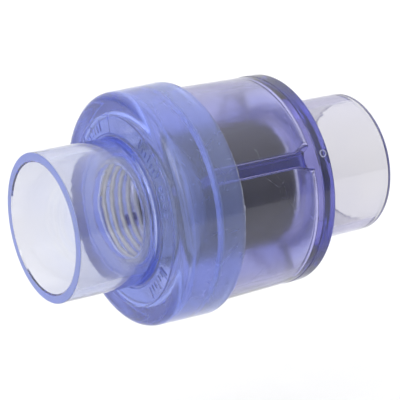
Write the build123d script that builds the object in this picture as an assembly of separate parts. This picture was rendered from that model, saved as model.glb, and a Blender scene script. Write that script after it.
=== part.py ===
from build123d import *
import math
import os

os.makedirs("parts", exist_ok=True)

# Clear PVC in-line spring check valve, 2 inch slip sockets. Millimetres.
# +X runs along the bore from the outlet mouth to the inlet mouth; water
# flows towards -X. +Z is up. The origin is on the bore's axis, halfway
# between the two mouths. Stations below are measured from the outlet mouth.

# ---- driving dimensions -------------------------------------------------
length = 172.7             # mouth to mouth
hub_r = 34.6               # outside of both pipe sockets
socket_r = 30.2            # slip socket for 60.3 mm pipe
socket_depth = 38.1        # mouth to pipe stop
bore_r = 26.2              # inlet water way past the pipe stop
mouth_break = 0.6          # edge break on the socket mouths

collar_front = 41.4        # front face of the outlet half
collar_rear = 73.7         # rear edge of the collar
collar_r_front = 54.95
collar_r_rear = 55.8
collar_shoulder = 4.2      # rounding of the front shoulder
collar_heel = 3.0          # rounding of the rear corner
front_wall = 6.0
chamber_r = 46.5           # inside of the valve chamber
joint_r = 52.12            # collar socket that takes the barrel
joint_floor = 60.9

mark_r_in = 36.3           # raised band that carries the moulded marks
mark_r_out = 45.2
mark_h = 0.5
tick_h = 0.45

barrel_start = 61.3
barrel_r_start = 52.0
barrel_r_end = 51.0
rim_start = 119.6          # slightly raised rim over the end wall
rim_r = 51.25
end_wall_in = 119.9
end_wall_out = 126.2
seat_h = 1.0               # height of the seat lip above the end wall
seat_r_in = 26.8
seat_r_out = 28.4

fin_count = 4
fin_angle = 29.9           # first guide fin, degrees above the -Y side
fin_tip_r = 31.35
fin_start = 64.0
fin_t_root = 5.4
fin_t_tip = 4.4

poppet_r = 31.0
poppet_start = 66.0
poppet_face = 115.6
poppet_wall = 2.6
poppet_web_in = 110.9      # floor of the cup
travel = 13.0              # opening stroke
seal_r = 29.0
seal_r_in = 8.0
seal_face = 118.85
retainer_r = 22.0
retainer_t = 2.5

spring_r = 24.2            # mean radius of the coil
wire_r = 1.1
spring_turns = 15
ledge = 42.0               # where the spring stands, in the outlet half
ledge_r = 22.5             # water way through the ledge
pocket_r = 26.2            # pocket that centres the spring's end

bolt_r = 3.0
bolt_af = 10.0

MID = length / 2


def lathe(points):
    """Turned solid from (station, radius, corner rounding) points."""
    pts = [(p[0] - MID, p[1], p[2] if len(p) > 2 else 0.0) for p in points]
    n = len(pts)
    ends = []
    for i in range(n):
        x, y, f = pts[i]
        if f <= 0:
            ends.append(((x, y), None, (x, y)))
            continue
        ax, ay = pts[i - 1][0] - x, pts[i - 1][1] - y
        bx, by = pts[(i + 1) % n][0] - x, pts[(i + 1) % n][1] - y
        la, lb = math.hypot(ax, ay), math.hypot(bx, by)
        ax, ay, bx, by = ax / la, ay / la, bx / lb, by / lb
        half = math.acos(max(-1, min(1, ax * bx + ay * by))) / 2
        d = f / math.tan(half)
        mx, my = ax + bx, ay + by
        lm = math.hypot(mx, my)
        h = f / math.sin(half)
        cx, cy = x + mx / lm * h, y + my / lm * h
        mid = (cx - mx / lm * f, cy - my / lm * f)
        ends.append(((x + ax * d, y + ay * d), mid, (x + bx * d, y + by * d)))
    edges = []
    for i in range(n):
        a, mid, b = ends[i]
        if mid is not None:
            edges.append(ThreePointArc(a, mid, b))
        c = ends[(i + 1) % n][0]
        if math.hypot(c[0] - b[0], c[1] - b[1]) > 1e-6:
            edges.append(Line(b, c))
    face = make_face(Curve() + edges)
    return revolve(face, axis=Axis.X, revolution_arc=360)


def around(shape, angle):
    """Turn a shape about the bore's axis."""
    return shape.rotate(Axis.X, angle)


def save(shape, name, colour):
    shape.label = name
    shape.color = Color(*colour)
    export_step(shape, "parts/" + name + ".step")


def barrel_r(station):
    t = (station - barrel_start) / (rim_start - barrel_start)
    return barrel_r_start + (barrel_r_end - barrel_r_start) * t


# ---- outlet half: socket, end wall and collar ---------------------------
outlet = lathe([
    (mouth_break, socket_r), (socket_depth, socket_r),
    (socket_depth, ledge_r, 0.4), (ledge, ledge_r, 0.6), (ledge, pocket_r),
    (collar_front + front_wall, pocket_r, 1.2),
    (collar_front + front_wall, chamber_r, 4.0),
    (joint_floor, chamber_r), (joint_floor, joint_r),
    (collar_rear, joint_r), (collar_rear, collar_r_rear, collar_heel),
    (collar_front, collar_r_front, collar_shoulder),
    (collar_front, hub_r + 0.25, 1.4), (0, hub_r, 0.5),
    (0, socket_r + mouth_break),
])
band = lathe([
    (collar_front - mark_h, mark_r_in), (collar_front + 1.0, mark_r_in),
    (collar_front + 1.0, mark_r_out), (collar_front - mark_h, mark_r_out, 0.3),
])
outlet = outlet + band
# Generic moulded ticks, squares and a flow arrow, standing on the band.
tick_base = collar_front - mark_h - tick_h


def tick(angle, r0, r1, width):
    b = Pos(tick_base + (tick_h + 0.3) / 2 - MID, -(r0 + r1) / 2, 0) * Box(
        tick_h + 0.3, r1 - r0, width)
    return around(b, -angle)


ticks = []
for start in (116.85, 39.85, -50.15):
    for k in range(7):
        tall = k % 3 == 0
        ticks.append(tick(start + k * 4.2, 38.2, 43.4 if tall else 41.2, 0.8))
for k in range(4):
    ticks.append(tick(31.05 - 5.5 * k, 39.4, 42.0, 1.9))
for k in range(3):
    ticks.append(tick(180.0 + 9.0 * k, 38.4, 43.2, 0.9))
for t in ticks:
    outlet = outlet + t
save(outlet, "outlet_body", (0.62, 0.66, 0.95, 0.5))

# ---- inlet half: barrel, guide fins, seat wall and socket ---------------
inlet = lathe([
    (barrel_start, chamber_r, 0.5), (end_wall_in, chamber_r - 0.5, 4.5),
    (end_wall_in, seat_r_out + 0.4), (end_wall_in - seat_h, seat_r_out, 0.3),
    (end_wall_in - seat_h, seat_r_in, 0.3), (end_wall_in, bore_r),
    (length - socket_depth, bore_r), (length - socket_depth, socket_r),
    (length - mouth_break, socket_r), (length, socket_r + mouth_break),
    (length, hub_r, 0.5), (end_wall_out, hub_r + 0.3, 1.4),
    (end_wall_out, rim_r, 0.9), (rim_start, rim_r),
    (rim_start - 0.4, barrel_r(rim_start - 0.4)),
    (barrel_start, barrel_r_start, 0.8),
])
for i in range(fin_count):
    x0, x1 = fin_start - MID, end_wall_in + 0.5 - MID
    root, tip = chamber_r + 1.0, fin_tip_r
    section = make_face(Polyline([
        (-root, -fin_t_root / 2), (-tip, -fin_t_tip / 2),
        (-tip, fin_t_tip / 2), (-root, fin_t_root / 2)], close=True))
    plane = Plane(origin=(x0, 0, 0), x_dir=(0, 1, 0), z_dir=(1, 0, 0))
    fin = extrude(plane * section, amount=x1 - x0)
    # the fin spreads where it runs into the end wall
    flare = make_face(Polyline([
        (x1 - 10.0, -fin_t_tip / 2 + 0.1), (x1 - 3.0, -3.4), (x1, -5.6),
        (x1, 5.6), (x1 - 3.0, 3.4), (x1 - 10.0, fin_t_tip / 2 - 0.1)],
        close=True))
    fplane = Plane(origin=(0, -(tip + 3.0), 0), x_dir=(1, 0, 0),
                   z_dir=(0, -1, 0))
    fin = fin + extrude(fplane * flare, amount=root - tip - 3.0)
    inlet = inlet + around(fin, -(fin_angle + 360.0 / fin_count * i))
# ring-shaped gate witness on the rim, in line with the first fin
gate = Cylinder(1.9, 1.2) - Cylinder(1.25, 1.2)
gate = Pos(122.9 - MID, -(rim_r - 0.3), 0) * (Rot(90, 0, 0) * gate)
inlet = inlet + around(gate, -fin_angle)
save(inlet, "inlet_body", (0.60, 0.62, 0.93, 0.5))

# ---- solvent cement squeezed out at the collar's rear edge --------------
bead = lathe([
    (collar_rear + 0.03, barrel_r(collar_rear) + 0.04),
    (collar_rear + 0.03, 53.3), (collar_rear + 0.6, 53.0, 0.4),
    (collar_rear + 1.7, barrel_r(collar_rear) + 0.04),
])
save(bead, "cement_bead", (0.82, 0.86, 1.0, 0.8))

# ---- return spring -------------------------------------------------------
s0 = ledge + wire_r + 0.05
s1 = poppet_web_in - wire_r - 0.05
pitch = (s1 - s0) / spring_turns
path = Helix(pitch=pitch, height=s1 - s0, radius=spring_r,
             direction=(1, 0, 0), center=(s0 - MID, 0, 0))
start = Plane(origin=path @ 0, z_dir=path % 0)
spring = sweep(start * Circle(wire_r), path=path, is_frenet=True)
save(spring, "return_spring", (0.85, 0.85, 0.84, 1.0))

# ---- poppet: black cup, open towards the outlet -------------------------
cup_r = poppet_r - poppet_wall
poppet = lathe([
    (poppet_start, cup_r, 0.9), (poppet_web_in, cup_r, 1.6),
    (poppet_web_in, 22.8), (poppet_web_in - 3.0, 22.6, 0.4),
    (poppet_web_in - 3.0, 20.9, 0.4), (poppet_web_in, 20.7),
    (poppet_web_in, bolt_r + 0.25), (seal_face - 0.05, bolt_r + 0.25),
    (seal_face - 0.05, seal_r_in - 0.1, 0.3), (poppet_face, seal_r_in - 0.1),
    (poppet_face, poppet_r, 2.2), (poppet_start, poppet_r, 0.9),
])
save(poppet, "poppet_shell", (0.05, 0.05, 0.07, 1.0))

seal = lathe([
    (poppet_face, seal_r_in), (seal_face, seal_r_in),
    (seal_face, seal_r, 0.9), (poppet_face, seal_r, 0.5),
])
save(seal, "poppet_seal", (0.03, 0.03, 0.03, 1.0))

retainer = lathe([
    (seal_face, bolt_r + 0.25), (seal_face + retainer_t, bolt_r + 0.25),
    (seal_face + retainer_t, retainer_r - 2.0, 0.6),
    (seal_face + 1.0, retainer_r, 0.4), (seal_face, retainer_r),
])
save(retainer, "seal_retainer", (0.08, 0.08, 0.10, 1.0))

# ---- fastener stack on the poppet's axis --------------------------------
w0 = seal_face + retainer_t
front_washer = lathe([
    (w0, bolt_r + 0.2), (w0 + 1.6, bolt_r + 0.2), (w0 + 1.6, 6.0, 0.2),
    (w0, 6.0, 0.2)])
save(front_washer, "bolt_washer", (0.8, 0.8, 0.8, 1.0))

head0 = w0 + 1.6
hexagon = RegularPolygon(radius=bolt_af / 2, side_count=6, major_radius=False)
yz = Plane(origin=(head0 - MID, 0, 0), x_dir=(0, 1, 0), z_dir=(1, 0, 0))
head = extrude(yz * hexagon, amount=4.0) & lathe([
    (head0, 0), (head0, 6.2), (head0 + 3.3, 6.2), (head0 + 4.0, 5.0),
    (head0 + 4.0, 0)])
tail = 101.6
shank = lathe([(tail, 0), (tail, bolt_r - 0.5), (tail + 0.5, bolt_r),
               (head0 + 0.5, bolt_r), (head0 + 0.5, 0)])
save(head + shank, "retainer_bolt", (0.8, 0.8, 0.8, 1.0))

n1 = poppet_web_in - 1.6
rear_washer = lathe([
    (n1, bolt_r + 0.2), (poppet_web_in, bolt_r + 0.2),
    (poppet_web_in, 6.0, 0.2), (n1, 6.0, 0.2)])
save(rear_washer, "nut_washer", (0.8, 0.8, 0.8, 1.0))

n0 = n1 - 6.0
yz = Plane(origin=(n0 + 1.6 - MID, 0, 0), x_dir=(0, 1, 0), z_dir=(1, 0, 0))
nut = extrude(yz * hexagon, amount=4.4) & lathe([
    (n0 + 1.6, 0), (n0 + 1.6, 6.2), (n1 - 0.6, 6.2), (n1, 5.2), (n1, 0)])
nut = nut + lathe([(n0, 0), (n0, 4.2, 0.8), (n0 + 2.2, 4.7),
                   (n0 + 2.2, 0)])
nut = nut - lathe([(n0 - 1, 0), (n0 - 1, bolt_r + 0.03),
                   (n1 + 1, bolt_r + 0.03), (n1 + 1, 0)])
save(nut, "lock_nut", (0.8, 0.8, 0.8, 1.0))
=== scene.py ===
import math

import bpy
import bmesh
import numpy as np
from mathutils import Matrix, Vector


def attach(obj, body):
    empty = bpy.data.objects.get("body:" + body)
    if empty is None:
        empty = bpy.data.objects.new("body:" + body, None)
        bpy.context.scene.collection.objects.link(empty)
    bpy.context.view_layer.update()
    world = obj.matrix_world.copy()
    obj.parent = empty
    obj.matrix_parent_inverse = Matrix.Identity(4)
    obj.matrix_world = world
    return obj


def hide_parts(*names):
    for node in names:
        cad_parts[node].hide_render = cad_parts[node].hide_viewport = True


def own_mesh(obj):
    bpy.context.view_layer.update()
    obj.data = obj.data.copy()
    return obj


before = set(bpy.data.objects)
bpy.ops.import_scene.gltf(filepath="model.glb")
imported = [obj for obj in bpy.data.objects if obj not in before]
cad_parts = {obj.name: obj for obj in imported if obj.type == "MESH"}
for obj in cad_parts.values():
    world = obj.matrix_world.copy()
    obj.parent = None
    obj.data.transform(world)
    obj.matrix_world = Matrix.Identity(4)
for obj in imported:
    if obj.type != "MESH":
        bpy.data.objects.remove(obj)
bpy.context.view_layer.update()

# ------------------------------------------------------------------ sizes
# Stations s run in millimetres from the outlet mouth; x = s - MID.
L = 172.7
MID = L / 2
MM = 0.001
HUB_R = 34.6
SOCKET_R = 30.2
SOCKET_D = 38.1
BORE_R = 26.2
LEDGE, LEDGE_R = 42.0, 22.5      # ledge the spring stands on
CF, CR = 41.4, 73.7              # collar front and rear
CHAMBER_R = 46.5
JOINT_R = 52.12
B0, RIM0, EW0, EW1 = 61.3, 119.6, 119.9, 126.2
FIN_TIP = 31.35
FIN_ANGLE = 29.9
RNG = np.random.default_rng(7)


def barrel_r(s):
    return 52.0 + (51.0 - 52.0) * (s - B0) / (RIM0 - B0)


# ----------------------------------------------------------- mesh builders
def round_profile(points, arc_step=15.0, seg=2.5):
    """Closed (s, r) outline with rounded corners, even spacing and guard
    points beside each rounding, so that smooth shading stays true."""
    n = len(points)
    parts = []
    for i in range(n):
        x, y = points[i][0], points[i][1]
        f = points[i][2] if len(points[i]) > 2 else 0.0
        if f <= 0:
            parts.append([(x, y)])
            continue
        a = np.array(points[i - 1][:2], float) - (x, y)
        b = np.array(points[(i + 1) % n][:2], float) - (x, y)
        a /= np.linalg.norm(a)
        b /= np.linalg.norm(b)
        half = math.acos(max(-1, min(1, float(a @ b)))) / 2
        m = a + b
        m /= np.linalg.norm(m)
        c = np.array((x, y)) + m * f / math.sin(half)
        p0 = np.array((x, y)) + a * f / math.tan(half)
        p1 = np.array((x, y)) + b * f / math.tan(half)
        a0 = math.atan2(*(p0 - c)[::-1])
        a1 = math.atan2(*(p1 - c)[::-1])
        d = (a1 - a0 + math.pi) % (2 * math.pi) - math.pi
        k = max(3, int(abs(math.degrees(d)) / arc_step))
        parts.append([(c[0] + f * math.cos(a0 + d * j / k),
                       c[1] + f * math.sin(a0 + d * j / k))
                      for j in range(k + 1)])
    out = []
    for i in range(n):
        out += parts[i]
        p = np.array(parts[i][-1])
        q = np.array(parts[(i + 1) % n][0])
        ln = float(np.linalg.norm(q - p))
        if ln < 1e-6:
            continue
        u = (q - p) / ln
        inner = []
        g = min(0.25, ln * 0.2)
        k = max(1, int(math.ceil((ln - 2 * g) / seg)))
        inner = [g + (ln - 2 * g) * j / k for j in range(k + 1)]
        out += [tuple(p + u * t) for t in inner]
    clean = [out[0]]
    for p in out[1:]:
        if math.hypot(p[0] - clean[-1][0], p[1] - clean[-1][1]) > 1e-5:
            clean.append(p)
    if math.hypot(clean[0][0] - clean[-1][0], clean[0][1] - clean[-1][1]) < 1e-5:
        clean.pop()
    return clean


def ring_mesh(name, rows, closed=True, merge=False, sharp=32.0, extra=()):
    """Mesh from rows of points round the X axis. rows: (R, N, 3) in mm,
    already about the origin. extra: more row stacks in the same mesh."""
    verts, faces = [], []
    for stack in [rows, *extra]:
        stack = np.asarray(stack, float)
        R, N = stack.shape[:2]
        base = sum(len(v) for v in verts)
        verts.append(stack.reshape(-1, 3))
        idx = np.arange(R * N).reshape(R, N) + base
        last = R if closed else R - 1
        for i in range(last):
            a, b = idx[i], idx[(i + 1) % R]
            a2, b2 = np.roll(a, -1), np.roll(b, -1)
            faces.append(np.stack([a, a2, b2, b], 1))
    v = np.concatenate(verts) * MM
    f = np.concatenate(faces)
    me = bpy.data.meshes.new(name)
    me.from_pydata(v.tolist(), [], f.tolist())
    bm = bmesh.new()
    bm.from_mesh(me)
    if merge:
        bmesh.ops.remove_doubles(bm, verts=bm.verts, dist=2e-6)
        bmesh.ops.dissolve_degenerate(bm, edges=bm.edges, dist=1e-6)
    bmesh.ops.recalc_face_normals(bm, faces=bm.faces)
    if bm.calc_volume(signed=True) < 0:
        bmesh.ops.reverse_faces(bm, faces=bm.faces)
    bm.to_mesh(me)
    bm.free()
    me.polygons.foreach_set("use_smooth", [True] * len(me.polygons))
    me.set_sharp_from_angle(angle=math.radians(sharp))
    ob = bpy.data.objects.new(name, me)
    bpy.context.scene.collection.objects.link(ob)
    return ob


def angles(n):
    return np.arange(n) * 2 * math.pi / n


def point(s, r, t):
    """Station, radius, angle in radians (0 on the -Y side, growing
    downwards) to x, y, z in mm."""
    s, r, t = np.broadcast_arrays(s, r, t)
    return np.stack([s - MID, -r * np.cos(t), -r * np.sin(t)], -1)


def lathe(name, points, n=192, sharp=32.0, wobble=None, **k):
    pr = round_profile(points, **k)
    t = angles(n)
    rows = []
    for s, r in pr:
        rows.append(point(s, np.full(n, r), t))
    rows = np.array(rows)
    if wobble is not None:
        rows = wobble(rows, t)
    return ring_mesh(name, rows, sharp=sharp)


def smooth(x):
    x = np.clip(x, 0, 1)
    return x * x * (3 - 2 * x)


# ------------------------------------------------------------- materials
class Nodes:
    def __init__(self, name):
        self.m = bpy.data.materials.new(name)
        self.m.use_nodes = True
        self.t = self.m.node_tree
        self.p = self.t.nodes["Principled BSDF"]
        self.out = self.t.nodes["Material Output"]

    def n(self, kind, **props):
        node = self.t.nodes.new(kind)
        for k, v in props.items():
            if k in node.inputs:
                node.inputs[k].default_value = v
            else:
                setattr(node, k, v)
        return node

    def link(self, a, b):
        self.t.links.new(a, b)

    def coords(self, scale=(1, 1, 1)):
        tc = self.n("ShaderNodeTexCoord")
        mp = self.n("ShaderNodeMapping")
        mp.inputs["Scale"].default_value = scale
        self.link(tc.outputs["Object"], mp.inputs["Vector"])
        return mp.outputs["Vector"]

    def noise(self, vec, scale, detail=3.0, rough=0.5, dist=0.0):
        nd = self.n("ShaderNodeTexNoise")
        nd.inputs["Scale"].default_value = scale
        nd.inputs["Detail"].default_value = detail
        nd.inputs["Roughness"].default_value = rough
        nd.inputs["Distortion"].default_value = dist
        self.link(vec, nd.inputs["Vector"])
        return nd.outputs["Fac"]

    def ramp(self, fac, stops):
        r = self.n("ShaderNodeValToRGB")
        e = r.color_ramp.elements
        while len(e) < len(stops):
            e.new(0.5)
        for el, (pos, col) in zip(e, stops):
            el.position = pos
            el.color = (*col, 1) if len(col) == 3 else col
        self.link(fac, r.inputs["Fac"])
        return r.outputs["Color"]

    def math(self, op, a, b=None):
        nd = self.n("ShaderNodeMath", operation=op)
        for i, v in enumerate((a, b)):
            if v is None:
                continue
            if isinstance(v, (int, float)):
                nd.inputs[i].default_value = v
            else:
                self.link(v, nd.inputs[i])
        return nd.outputs[0]

    def range(self, v, a, b, c, d):
        nd = self.n("ShaderNodeMapRange")
        self.link(v, nd.inputs["Value"])
        for k, x in zip(("From Min", "From Max", "To Min", "To Max"), (a, b, c, d)):
            nd.inputs[k].default_value = x
        return nd.outputs["Result"]

    def mix(self, fac, a, b, blend="MIX"):
        nd = self.n("ShaderNodeMix", data_type="RGBA", blend_type=blend)
        for i, v in ((0, fac), (6, a), (7, b)):
            if isinstance(v, (int, float)):
                nd.inputs[i].default_value = v
            elif isinstance(v, tuple):
                nd.inputs[i].default_value = (*v, 1) if len(v) == 3 else v
            else:
                self.link(v, nd.inputs[i])
        return nd.outputs[2]

    def lerp(self, fac, a, b):
        nd = self.n("ShaderNodeMix", data_type="FLOAT")
        for i, v in ((0, fac), (2, a), (3, b)):
            if isinstance(v, (int, float)):
                nd.inputs[i].default_value = v
            else:
                self.link(v, nd.inputs[i])
        return nd.outputs[0]

    def bump(self, height, strength, distance, normal=None):
        nd = self.n("ShaderNodeBump")
        nd.inputs["Strength"].default_value = strength
        nd.inputs["Distance"].default_value = distance
        self.link(height, nd.inputs["Height"])
        if normal is not None:
            self.link(normal, nd.inputs["Normal"])
        return nd.outputs["Normal"]

    def set(self, **k):
        for key, v in k.items():
            self.p.inputs[key.replace("_", " ")].default_value = v


def clear_pvc(name, absorb, density, tint, rough, clear, zones, ripple=0.0003):
    """Rigid clear PVC, tinted by depth. The moulding is one closed solid
    with one material, so the finish changes with the place: tint is a list
    of (station, colour) stops for the polished outside, and zones are
    (s0, s1, r0, r1, colour, roughness, clearness) boxes in station and
    radius for the core side, the cut ends, a band of painted shade on the
    inlet's rim and a band of painted highlight on the collar's rear edge."""
    g = Nodes(name)
    g.set(IOR=1.53)
    wide = g.coords((1, 1, 1))
    sep = g.n("ShaderNodeSeparateXYZ")
    g.link(wide, sep.inputs[0])
    st = g.math("ADD", g.math("MULTIPLY", sep.outputs["X"], 1000.0), MID)
    y2 = g.math("MULTIPLY", sep.outputs["Y"], sep.outputs["Y"])
    z2 = g.math("MULTIPLY", sep.outputs["Z"], sep.outputs["Z"])
    rad = g.math("MULTIPLY", g.math("SQRT", g.math("ADD", y2, z2)), 1000.0)
    flow = g.noise(wide, 26.0, 2.0, 0.45, 0.6)
    streak = g.noise(g.coords((18, 60, 60)), 3.2, 3.0, 0.55, 0.2)
    fine = g.noise(wide, 420.0, 3.0, 0.6)
    height = g.math("ADD", flow, g.math("MULTIPLY", streak, 0.25))
    n1 = g.bump(height, 1.0, ripple)
    g.link(g.bump(fine, 0.2, 0.000004, n1), g.p.inputs["Normal"])
    vor = g.n("ShaderNodeTexVoronoi", feature="DISTANCE_TO_EDGE")
    vor.inputs["Scale"].default_value = 95.0
    g.link(g.coords((1.0, 0.25, 0.6)), vor.inputs["Vector"])
    scratch = g.range(vor.outputs["Distance"], 0.0, 0.02, 1.0, 0.0)
    patch = g.range(g.noise(wide, 60.0, 2.0), 0.5, 0.62, 0.0, 1.0)
    base = g.ramp(g.range(st, 0.0, L, 0.0, 1.0), [(k / L, c) for k, c in tint])
    rough_v, clear_v = rough, clear
    for s0, s1, r0, r1, col, ro, cl in zones:
        m = None
        for v, lo, hi in ((st, s0, s1), (rad, r0, r1)):
            for edge, sign in ((lo, 1), (hi, -1)):
                if edge is None:
                    continue
                k = g.range(v, edge - 0.15, edge + 0.15,
                            0.0 if sign > 0 else 1.0, 1.0 if sign > 0 else 0.0)
                m = k if m is None else g.math("MULTIPLY", m, k)
        base = g.mix(m, base, col)
        rough_v = g.lerp(m, rough_v, ro)
        clear_v = g.lerp(m, clear_v, cl)
    cloud = g.ramp(g.noise(wide, 34.0, 3.0), [(0.35, (0.945, 0.95, 0.99)),
                                              (0.65, (1.0, 1.0, 1.0))])
    g.link(g.mix(1.0, base, cloud, "MULTIPLY"), g.p.inputs["Base Color"])
    r = g.math("ADD", g.math("MULTIPLY", rough_v, g.range(fine, 0.3, 0.7, 0.94, 1.06)),
               g.math("MULTIPLY", g.math("MULTIPLY", scratch, patch), 0.08))
    g.link(r, g.p.inputs["Roughness"])
    g.link(clear_v, g.p.inputs["Transmission Weight"])
    vol = g.n("ShaderNodeVolumeAbsorption")
    vol.inputs["Color"].default_value = (*absorb, 1)
    vol.inputs["Density"].default_value = density
    g.link(vol.outputs["Volume"], g.out.inputs["Volume"])
    return g.m


def black_plastic(name):
    """Black moulded plastic with dust, lint flecks and a faint bloom."""
    g = Nodes(name)
    c = g.coords()
    bloom = g.noise(c, 45.0, 4.0, 0.6)
    grain = g.noise(c, 900.0, 2.0, 0.5)
    base = g.ramp(bloom, [(0.3, (0.006, 0.006, 0.012)),
                          (0.7, (0.016, 0.016, 0.028))])
    speck = g.n("ShaderNodeTexVoronoi", feature="F1")
    speck.inputs["Scale"].default_value = 620.0
    g.link(c, speck.inputs["Vector"])
    dots = g.range(speck.outputs["Distance"], 0.10, 0.20, 1.0, 0.0)
    sparse = g.range(g.noise(c, 150.0, 2.0), 0.52, 0.60, 0.0, 1.0)
    lint = g.n("ShaderNodeTexVoronoi", feature="DISTANCE_TO_EDGE")
    lint.inputs["Scale"].default_value = 170.0
    g.link(g.coords((0.35, 1.0, 1.4)), lint.inputs["Vector"])
    fibre = g.range(lint.outputs["Distance"], 0.0, 0.012, 1.0, 0.0)
    fsp = g.range(g.noise(c, 70.0, 1.0), 0.58, 0.63, 0.0, 1.0)
    marks = g.math("MAXIMUM", g.math("MULTIPLY", dots, sparse),
                   g.math("MULTIPLY", fibre, fsp))
    col = g.mix(g.math("MULTIPLY", marks, 0.75), base, (0.42, 0.40, 0.34))
    g.link(col, g.p.inputs["Base Color"])
    g.link(g.range(bloom, 0.3, 0.7, 0.34, 0.52), g.p.inputs["Roughness"])
    g.set(Specular_IOR_Level=0.28)
    g.link(g.bump(grain, 0.15, 0.00008), g.p.inputs["Normal"])
    return g.m


def rubber(name):
    g = Nodes(name)
    c = g.coords()
    v = g.noise(c, 260.0, 4.0, 0.6)
    g.link(g.ramp(v, [(0.3, (0.012, 0.012, 0.013)), (0.7, (0.03, 0.03, 0.032))]),
           g.p.inputs["Base Color"])
    g.link(g.range(v, 0.3, 0.7, 0.55, 0.75), g.p.inputs["Roughness"])
    g.link(g.bump(g.noise(c, 1500.0, 2.0), 0.3, 0.0001), g.p.inputs["Normal"])
    return g.m


def steel(name, along, tint=(0.80, 0.79, 0.76), satin=0.0, metal=1.0):
    """Stainless steel with drawing marks and mild tarnish."""
    g = Nodes(name)
    g.set(Metallic=metal)
    v = g.noise(g.coords(along), 30.0, 4.0, 0.6)
    w = g.noise(g.coords(), 90.0, 3.0, 0.5)
    dark = tuple(x * 0.78 for x in tint)
    g.link(g.ramp(w, [(0.3, dark), (0.65, tint)]), g.p.inputs["Base Color"])
    g.link(g.range(v, 0.3, 0.7, 0.18 + satin, 0.36 + satin), g.p.inputs["Roughness"])
    g.link(g.bump(v, 0.2, 0.00003), g.p.inputs["Normal"])
    return g.m


def cement(name):
    """Hardened solvent cement: clear, milky in places, uneven surface."""
    g = Nodes(name)
    g.set(IOR=1.5, Transmission_Weight=0.8)
    c = g.coords()
    v = g.noise(c, 380.0, 4.0, 0.65)
    g.link(g.ramp(v, [(0.35, (0.82, 0.87, 1.0)), (0.65, (0.98, 0.99, 1.0))]),
           g.p.inputs["Base Color"])
    g.link(g.range(v, 0.3, 0.7, 0.08, 0.35), g.p.inputs["Roughness"])
    g.link(g.bump(v, 0.7, 0.0003), g.p.inputs["Normal"])
    return g.m


ABS_OUT, ABS_IN, DENS = (0.20, 0.34, 0.92), (0.10, 0.08, 0.76), 48.0
M_OUT = clear_pvc(
    "clear_pvc_outlet", ABS_OUT, DENS,
    [(0, (0.94, 0.915, 0.85)), (24, (0.93, 0.92, 0.87)),
     (36, (0.86, 0.88, 0.94)), (42, (0.66, 0.74, 0.98)), (74, (0.68, 0.75, 0.97))],
    0.05, 0.965,
    [(39.5, 90, 35.4, None, (0.57, 0.66, 0.98), 0.07, 0.90),
     (43.0, 90, None, 52.5, (0.60, 0.67, 0.97), 0.26, 0.86),
     (43.0, 50, None, 46.9, (0.78, 0.84, 1.0), 0.22, 0.88),
     (37.9, 90, None, 30.6, (0.95, 0.96, 0.98), 0.12, 0.88),
     # whiter, milkier band round the collar's rear edge: painted highlight for the thin bright line along
     # that edge
     (72.7, 73.9, 53.2, None, (0.86, 0.89, 0.98), 0.22, 0.55),
     (None, 0.35, 30.9, None, (0.29, 0.36, 0.71), 0.30, 0.45)])
M_IN = clear_pvc(
    "clear_pvc_inlet", ABS_IN, DENS,
    [(74, (0.97, 0.975, 0.955)), (118, (0.97, 0.97, 0.955)),
     (127, (0.78, 0.79, 0.88)), (134, (0.80, 0.79, 0.72)), (172, (0.84, 0.83, 0.75))],
    0.045, 0.984,
    [(None, 120.1, None, 47.1, (0.84, 0.86, 0.965), 0.20, 0.98),
     (64.0, 119.0, None, 32.3, (0.34, 0.41, 0.98), 0.40, 0.55),
     (119.0, 120.3, 33.5, 41.5, (0.52, 0.57, 0.97), 0.24, 0.86),
     # rim band and outer corner of the end wall tinted dark blue: painted shade for the dark surroundings
     # this band sees
     (119.5, 126.4, 50.9, None, (0.36, 0.39, 0.82), 0.12, 0.94),
     (None, 62.4, 46.0, None, (0.80, 0.84, 0.92), 0.35, 0.50),
     (L - 0.35, None, 30.9, None, (0.42, 0.44, 0.86), 0.20, 0.60)])
M_BLACK = black_plastic("poppet_black")
M_RET = black_plastic("retainer_black")
M_RUB = rubber("seal_rubber")
M_SPRING = steel("spring_wire", (1, 14, 14), (0.98, 0.96, 0.92), 0.25, 0.35)
M_STEEL = steel("fastener_steel", (20, 1, 1))
M_CEMENT = cement("cement_clear")


def finish_piece(ob, body, mat, slot, *nodes):
    ob.data.materials.clear()
    ob.data.materials.append(mat)
    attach(ob, body)
    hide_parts(*nodes)
    return ob


# --------------------------------------------------------- outlet half
NO = 960
to = angles(NO)


def mark_height(r, t):
    """Height in mm of the moulded marks at radius r and angle t (degrees,
    0 on the -Y side, growing downwards), standing on the raised band."""
    h = 0.5 * smooth((r - 36.1) / 0.5) * smooth((45.4 - r) / 0.5)

    def bar(a, r0, r1, w, hh=0.45):
        d = (t - a + 180) % 360 - 180
        d = np.abs(np.radians(d) * r)
        return hh * smooth((w / 2 + 0.12 - d) / 0.24) * smooth(
            (r - r0 + 0.12) / 0.24) * smooth((r1 + 0.12 - r) / 0.24)

    def ring(a, rc, rad, w, hh=0.4):
        d = (t - a + 180) % 360 - 180
        u, v = np.radians(d) * r, r - rc
        q = np.abs(np.hypot(u, v) - rad)
        return hh * smooth((w / 2 + 0.12 - q) / 0.24)

    m = np.zeros_like(h)
    for start in (-142.05, -65.05, 24.95):
        for k in range(7):
            tall = k % 3 == 0
            m = np.maximum(m, bar(start + k * 4.2, 38.2,
                                  43.4 if tall else 41.2, 0.8))
    for k in range(4):
        m = np.maximum(m, ring(-31.05 + 5.5 * k, 40.6, 1.15, 0.55))
    for k in range(3):
        m = np.maximum(m, bar(180.0 - 9.0 * k, 38.4, 43.2, 0.9))
    h = h + m
    # two fine witness lines of the mould's inserts
    for a in (-104.05, 26.75):
        d = (t - a + 180) % 360 - 180
        d = np.abs(np.radians(d) * r)
        h = h - 0.16 * smooth((0.34 - d) / 0.24) * smooth((46.6 - r) / 0.4)
    return h


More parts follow.
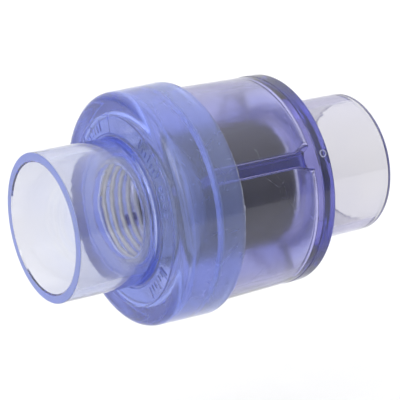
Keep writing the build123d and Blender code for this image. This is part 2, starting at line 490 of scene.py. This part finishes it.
def build_outlet():
    inner = [
        (0.0, SOCKET_R + 0.6), (0.6, SOCKET_R), (SOCKET_D, SOCKET_R),
        (SOCKET_D, LEDGE_R, 0.4), (LEDGE, LEDGE_R, 0.6), (LEDGE, BORE_R),
        (CF + 6.0, BORE_R, 1.2), (CF + 6.0, CHAMBER_R, 4.0),
        (60.9, CHAMBER_R), (60.9, JOINT_R), (CR, JOINT_R),
        (CR, 55.8, 3.0), (CF, 54.95, 4.2)]
    face = [(CF, r) for r in np.arange(50.2, 35.6, -0.3)]
    outer = [(CF, HUB_R + 0.25, 1.4), (0, HUB_R, 0.5)]
    pr = round_profile(inner + [(CF, 50.6)] + outer)
    # swap the plain front face for a fine grid that can carry marks
    rows = []
    done = False
    t = np.degrees(to)
    for s, r in pr:
        on_face = abs(s - CF) < 1e-6 and 35.4 < r < 50.9
        if on_face:
            if not done:
                done = True
                for rr in np.arange(50.4, 35.95, -0.28):
                    h = mark_height(np.full(NO, rr), t)
                    rows.append(point(CF - h, np.full(NO, rr), to))
            continue
        rows.append(point(s, np.full(NO, r), to))
    return ring_mesh("outlet_body_clear", np.array(rows), sharp=40.0)


outlet = build_outlet()
finish_piece(outlet, "valve_body", M_OUT, "clear_pvc_outlet", "outlet_body")

# ---------------------------------------------------------- inlet half
def fin_section(s):
    """Half section of a guide fin at station s: list of (w, rho) from the
    middle of its tip to where its root meets the wall."""
    flare = smooth((s - 106.0) / 13.5) ** 2
    tt = 4.4 / 2 + 0.9 * flare
    tr = 5.4 / 2 + 3.2 * flare
    f = 1.6 + 1.8 * flare
    root = CHAMBER_R - 0.5 * max(0, (s - B0) / (EW0 - B0))

    def side(rho):
        k = (rho - FIN_TIP) / (root - FIN_TIP)
        return tt + (tr - tt) * k ** 1.5 if k > 0 else tt

    pts = [(0.0, FIN_TIP), (tt - 0.75, FIN_TIP)]
    for a in (30, 60, 90):
        pts.append((tt - 0.7 + 0.7 * math.sin(math.radians(a)),
                    FIN_TIP + 0.7 - 0.7 * math.cos(math.radians(a))))
    for k in range(1, 8):
        rho = FIN_TIP + 0.7 + (root - f - FIN_TIP - 0.7) * k / 7
        pts.append((side(rho), rho))
    for a in (15, 30, 45, 60, 75, 90):
        ca = math.radians(a)
        rho = root - f + f * math.sin(ca)
        w = side(rho) + f * (1 - math.cos(ca))
        if a == 90:
            rho = math.sqrt(max(root ** 2 - w * w, 0))
        pts.append((w, rho))
    return pts, root


def build_inlet():
    arc_n = 36
    base_half = fin_section(90.0)[0]
    nf = len(base_half)

    def columns(s_fin):
        half, root = fin_section(s_fin)
        return half, root

    ref, ref_root = columns(90.0)
    edge = math.atan2(ref[-1][0], ref[-1][1])

    def plain_angles():
        a = [edge * k / (nf - 1) for k in range(nf)]
        arc = [edge + (math.pi / 2 - 2 * edge) * k / arc_n for k in range(1, arc_n)]
        return a, arc

    pa, parc = plain_angles()

    def loop(s, r, fin, s_fin):
        """One row: station s, wall radius r. fin: 0 none, 1 full."""
        half, root = columns(s_fin)
        pts = []
        e = math.atan2(half[-1][0], half[-1][1]) if fin > 0 else edge
        e = min(e, 0.30)
        halfpts = []
        for k, (w, rho) in enumerate(half):
            circ = (r * math.sin(pa[k]), r * math.cos(pa[k]))
            if fin <= 0:
                halfpts.append(circ)
                continue
            rr = min(rho, r) if k < nf - 6 else min(rho, r)
            ww = w
            if k == nf - 1 or rr >= r - 1e-9 and k > nf - 7:
                ang = math.atan2(w, rho)
                p = (r * math.sin(ang), r * math.cos(ang)) if rho >= r - 1e-6 or k == nf - 1 else (w, rho)
            else:
                p = (ww, rr)
            halfpts.append((p[0] * fin + circ[0] * (1 - fin),
                            p[1] * fin + circ[1] * (1 - fin)))
        arc = [e + (math.pi / 2 - 2 * e) * k / arc_n for k in range(1, arc_n)]
        for q in range(4):
            a0 = math.radians(-FIN_ANGLE) + q * math.pi / 2
            loc = [(w, rho) for w, rho in halfpts]
            for a in arc:
                loc.append((r * math.sin(a), r * math.cos(a)))
            mir = [(-w, rho) for w, rho in halfpts[::-1][:-1]]
            for w, rho in loc:
                ang = a0 + math.atan2(w, rho)
                pts.append((math.hypot(w, rho), ang))
            for w, rho in mir:
                ang = a0 + math.pi / 2 + math.atan2(w, rho)
                pts.append((math.hypot(w, rho), ang))
        pts = np.array(pts)
        return point(np.full(len(pts), s), pts[:, 0], pts[:, 1])

    prof = [
        (B0, CHAMBER_R, 0.5), (EW0, CHAMBER_R - 0.5, 4.5),
        (EW0, 28.8), (EW0 - 1.0, 28.4, 0.3), (EW0 - 1.0, 26.8, 0.3),
        (EW0, BORE_R), (L - SOCKET_D, BORE_R), (L - SOCKET_D, SOCKET_R),
        (L - 0.6, SOCKET_R), (L, SOCKET_R + 0.6), (L, HUB_R, 0.5),
        (EW1, HUB_R + 0.3, 1.4), (EW1, 51.25, 0.9), (RIM0, 51.25),
        (RIM0 - 0.4, barrel_r(RIM0 - 0.4)), (B0, 52.0, 0.8)]
    pr = round_profile(prof, arc_step=11.0, seg=2.2)
    rows = []
    fin_from = 64.0
    started = False
    for s, r in pr:
        inside = r < CHAMBER_R + 0.3 and r > FIN_TIP + 0.05 and s > fin_from and s < EW0 + 1e-6 and not (
            r > 50)
        if inside and not started:
            started = True
            for ds, f in ((0.0, 0.0), (0.25, 0.62), (0.9, 0.93), (1.8, 1.0)):
                rr = CHAMBER_R - 0.5 * (fin_from + ds - B0) / (EW0 - B0)
                rows.append(loop(fin_from + ds, rr, f, 90.0))
            if s < fin_from + 2.0:
                continue
        if inside:
            rows.append(loop(s, r, 1.0, s))
        else:
            rows.append(loop(s, r, 0.0, 90.0))
    return ring_mesh("inlet_body_clear", np.array(rows), merge=True, sharp=40.0)


inlet = build_inlet()
finish_piece(inlet, "valve_body", M_IN, "clear_pvc_inlet", "inlet_body")

def build_gate():
    """Ring-shaped gate witness: a small torus sunk a little into the rim
    in line with the first fin."""
    n, m = 40, 14
    a = angles(n)
    rows = []
    for k in range(m):
        q = 2 * math.pi * k / m
        rad = 1.55 + 0.36 * math.cos(q)
        hgt = 0.30 * math.sin(q) + 0.02
        wob = 1 + 0.05 * np.sin(3 * a + 1)
        u, v = rad * wob * np.cos(a), rad * wob * np.sin(a)
        rows.append(np.stack([u + 122.9 - MID, np.full(n, -(51.25 + hgt)), v], -1))
    rows = np.array(rows)
    c, s = math.cos(math.radians(-FIN_ANGLE)), math.sin(math.radians(-FIN_ANGLE))
    y, z = rows[..., 1].copy(), rows[..., 2].copy()
    rows[..., 1], rows[..., 2] = y * c - z * s, y * s + z * c
    ob = ring_mesh("gate_mark", rows, sharp=60.0)
    ob.data.materials.append(M_CEMENT)
    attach(ob, "valve_body")
    return ob


build_gate()


# --------------------------------------------------------- cement bead
def bead_wobble(rows, t):
    """Uneven squeeze-out: the free edge runs in and out along the joint."""
    r = np.hypot(rows[..., 1], rows[..., 2])
    amp = np.zeros_like(t)
    for k in range(3, 60, 4):
        amp += RNG.uniform(0.3, 1.0) * np.sin(k * t + RNG.uniform(0, 6.28)) / k ** 0.6
    amp = amp / np.abs(amp).max()
    s = rows[..., 0] + MID
    free = np.clip((s - (CR + 0.15)) / 1.4, 0, 1)
    rows = rows.copy()
    rows[..., 0] = rows[..., 0] - free * (0.35 + 0.35 * amp[None, :])
    lift = np.clip((r - 52.4) / 0.8, 0, 1) * (0.16 * amp[None, :] - 0.16)
    k = (r + lift) / r
    rows[..., 1] *= k
    rows[..., 2] *= k
    return rows


bead = lathe("cement_bead_clear", [
    (CR + 0.03, barrel_r(CR) + 0.04), (CR + 0.03, 53.3, 0.2),
    (CR + 0.6, 53.0, 0.4), (CR + 1.7, barrel_r(CR) + 0.04)],
    n=720, wobble=bead_wobble, seg=0.3)
finish_piece(bead, "valve_body", M_CEMENT, "cement", "cement_bead")


# -------------------------------------------------------------- spring
def build_spring():
    wire, mean = 1.1, 24.2
    s0, s1 = 42.05, 110.85
    turns, dead = 16.4, 1.05
    per = 72
    n = int(turns * per)
    u = np.linspace(0, turns, n)
    closed = 2 * wire + 0.02
    rise = (s1 - s0 - 2 * wire - 2 * dead * closed + 1.0) / (turns - 2 * dead)
    rate = np.full(n, rise)
    for i, v in enumerate(u):
        e = min(v, turns - v)
        k = smooth(np.array((e - dead + 0.35) / 0.7))
        rate[i] = closed + (rise - closed) * k
    s = np.concatenate([[0], np.cumsum((rate[1:] + rate[:-1]) / 2 * np.diff(u))])
    s = s0 + wire - 0.45 + s * ((s1 - s0 - 2 * wire + 0.9) / s[-1])
    ang = 2 * math.pi * u
    c = np.stack([s, mean * np.cos(ang), mean * np.sin(ang)], 1)
    tan = np.gradient(c, axis=0)
    tan /= np.linalg.norm(tan, axis=1)[:, None]
    rad = np.stack([np.zeros(n), np.cos(ang), np.sin(ang)], 1)
    bi = np.cross(tan, rad)
    m = 14
    q = angles(m)
    pts = (c[:, None, :] + wire * (np.cos(q)[None, :, None] * rad[:, None, :]
                                   + np.sin(q)[None, :, None] * bi[:, None, :]))
    pts[..., 0] = np.clip(pts[..., 0], s0, s1) - MID
    verts = pts.reshape(-1, 3) * MM
    idx = np.arange(n * m).reshape(n, m)
    faces = []
    for i in range(n - 1):
        a, b = idx[i], idx[i + 1]
        faces += np.stack([a, np.roll(a, -1), np.roll(b, -1), b], 1).tolist()
    faces.append(idx[0][::-1].tolist())
    faces.append(idx[-1].tolist())
    me = bpy.data.meshes.new("return_spring_coil")
    me.from_pydata(verts.tolist(), [], faces)
    bm = bmesh.new()
    bm.from_mesh(me)
    bmesh.ops.recalc_face_normals(bm, faces=bm.faces)
    bm.to_mesh(me)
    bm.free()
    me.polygons.foreach_set("use_smooth", [True] * len(me.polygons))
    me.set_sharp_from_angle(angle=math.radians(40))
    ob = bpy.data.objects.new("return_spring_coil", me)
    bpy.context.scene.collection.objects.link(ob)
    return ob


spring = build_spring()
finish_piece(spring, "valve_body", M_SPRING, "spring_steel", "return_spring")
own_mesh(spring)

# -------------------------------------------------------------- poppet
shell = lathe("poppet_shell_black", [
    (66.0, 28.4, 0.9), (110.9, 28.4, 1.6), (110.9, 22.8),
    (107.9, 22.6, 0.4), (107.9, 20.9, 0.4), (110.9, 20.7),
    (110.9, 3.25), (118.8, 3.25), (118.8, 7.9, 0.3), (115.6, 7.9),
    (115.6, 31.0, 2.2), (66.0, 31.0, 0.9)], n=256)
finish_piece(shell, "poppet", M_BLACK, "black_plastic", "poppet_shell")

seal = lathe("poppet_seal_rubber", [
    (115.6, 8.0), (118.85, 8.0), (118.85, 29.0, 0.9), (115.6, 29.0, 0.5)],
    n=192)
finish_piece(seal, "poppet", M_RUB, "epdm", "poppet_seal")

ret = lathe("seal_retainer_plate", [
    (118.85, 3.25), (121.35, 3.25), (121.35, 20.0, 0.6),
    (119.85, 22.0, 0.4), (118.85, 22.0)], n=160)
finish_piece(ret, "poppet", M_RET, "black_plastic", "seal_retainer")

# ------------------------------------------- CAD nodes that keep their shape
for node, mat in (("retainer_bolt", M_STEEL), ("bolt_washer", M_STEEL), ("nut_washer", M_STEEL),
                  ("lock_nut", M_STEEL)):
    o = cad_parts[node]
    o.data.materials.clear()
    o.data.materials.append(mat)

# ----------------------------------------------------- floor, light, camera
floor_z = -0.165
me = bpy.data.meshes.new("floor")
q = 3.0
me.from_pydata([(-q, -q, floor_z), (q, -q, floor_z), (q, q, floor_z),
                (-q, q, floor_z)], [], [(0, 1, 2, 3)])
floor = bpy.data.objects.new("floor", me)
bpy.context.scene.collection.objects.link(floor)
g = Nodes("floor_paper")
v = g.noise(g.coords(), 40.0, 3.0)
g.link(g.ramp(v, [(0.3, (0.80, 0.80, 0.805)), (0.7, (0.815, 0.815, 0.82))]),
       g.p.inputs["Base Color"])
g.set(Roughness=0.9, Specular_IOR_Level=0.2)
me.materials.append(g.m)

world = bpy.data.worlds.new("studio")
world.use_nodes = True
wt = world.node_tree
tc = wt.nodes.new("ShaderNodeTexCoord")
dot = wt.nodes.new("ShaderNodeVectorMath")
dot.operation = "DOT_PRODUCT"
dot.inputs[1].default_value = (-0.30, -0.10, 0.949)
wt.links.new(tc.outputs["Generated"], dot.inputs[0])
tent = wt.nodes.new("ShaderNodeMapRange")
tent.interpolation_type = "SMOOTHSTEP"
for k, v in (("From Min", -0.05), ("From Max", 0.85), ("To Min", 0.34), ("To Max", 1.40)):
    tent.inputs[k].default_value = v
wt.links.new(dot.outputs["Value"], tent.inputs["Value"])
back = wt.nodes.new("ShaderNodeVectorMath")
back.operation = "DOT_PRODUCT"
back.inputs[1].default_value = (0.54, 0.82, 0.19)
wt.links.new(tc.outputs["Generated"], back.inputs[0])
sweep = wt.nodes.new("ShaderNodeMapRange")
sweep.interpolation_type = "SMOOTHSTEP"
for k, v in (("From Min", 0.25), ("From Max", 0.95), ("To Min", 0.0), ("To Max", 0.62)):
    sweep.inputs[k].default_value = v
wt.links.new(back.outputs["Value"], sweep.inputs["Value"])
both = wt.nodes.new("ShaderNodeMath")
wt.links.new(tent.outputs["Result"], both.inputs[0])
wt.links.new(sweep.outputs["Result"], both.inputs[1])
wt.links.new(both.outputs["Value"], wt.nodes["Background"].inputs["Strength"])
wt.nodes["Background"].inputs["Color"].default_value = (1, 1, 1, 1)
bpy.context.scene.world = world


def softbox(name, pos, target, size, power):
    d = bpy.data.lights.new(name, "AREA")
    d.shape = "RECTANGLE"
    d.size, d.size_y = size
    d.energy = power
    o = bpy.data.objects.new(name, d)
    o.location = pos
    o.rotation_euler = (Vector(target) - Vector(pos)).to_track_quat("-Z", "Y").to_euler()
    bpy.context.scene.collection.objects.link(o)
    return o


softbox("key", (-1.0, -0.5, 1.0), (0, 0, 0), (1.0, 1.0), 6.0)

# pinhole camera: axis line of the valve fitted in camera coordinates
F_PX, CX, CY, CZ = 1586.0, -2.04, 0.37, 20.529
AZ, EL = math.atan2(0.5151, 0.7871), math.asin(0.3395)
fwd = Vector((math.sin(AZ) * math.cos(EL), math.cos(AZ) * math.cos(EL), -math.sin(EL)))
right = Vector((math.cos(AZ), -math.sin(AZ), 0))
up = right.cross(fwd)
mouth = Vector((-MID, 0, 0)) * MM
pos = mouth - HUB_R * MM * (CX * right - CY * up + CZ * fwd)
cam = bpy.data.cameras.new("camera")
cam.sensor_width = 36.0
cam.lens = F_PX / 400.0 * 36.0
cam.clip_start = 0.01
cam.clip_end = 20.0
cob = bpy.data.objects.new("camera", cam)
cob.matrix_world = Matrix((
    (right.x, up.x, -fwd.x, pos.x), (right.y, up.y, -fwd.y, pos.y),
    (right.z, up.z, -fwd.z, pos.z), (0, 0, 0, 1)))
bpy.context.scene.collection.objects.link(cob)
bpy.context.scene.camera = cob

sc = bpy.context.scene
sc.view_settings.view_transform = "Standard"
sc.view_settings.look = "None"
sc.cycles.max_bounces = 28
sc.cycles.transmission_bounces = 28
sc.cycles.glossy_bounces = 10
sc.cycles.transparent_max_bounces = 16
sc.cycles.use_denoising = True
